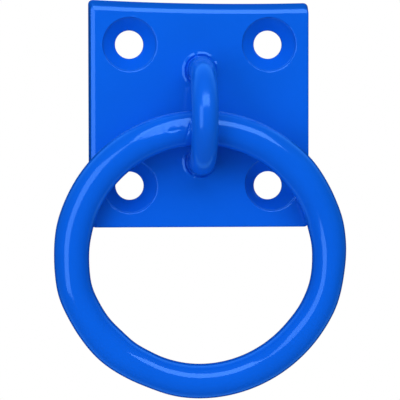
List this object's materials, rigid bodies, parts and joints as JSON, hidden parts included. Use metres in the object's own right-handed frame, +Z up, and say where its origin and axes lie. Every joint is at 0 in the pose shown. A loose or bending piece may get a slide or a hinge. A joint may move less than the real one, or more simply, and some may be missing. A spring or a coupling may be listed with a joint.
{
  "type": "ring plate",
  "caption": "Square steel plate with countersunk screw holes, a riveted round-bar staple and a welded ring that swings in it, as a tie or lashing point.",
  "frame": {"origin": "middle of the four screw holes, on the plate's back", "axes": "+Y out of the plate's back into the wall, +Z up as mounted, the ring hangs on the -Y side"},
  "size_m": [0.0668, 0.0239, 0.0917],
  "materials": {
    "blue_gloss_coat": "glossy blue paint over the finished steel assembly"
  },
  "bodies": {
    "fixed_plate": {"plate": "blue_gloss_coat", "staple": "blue_gloss_coat"},
    "swinging_ring": {"ring": "blue_gloss_coat"}
  },
  "joints": [
    {"name": "ring_swing", "type": "hinge", "parent": "fixed_plate", "child": "swinging_ring", "pos_m": [0, -0.01104, -0.00287], "axis": [-1, 0, 0], "range_deg": [0, 193.5]}
  ]
}
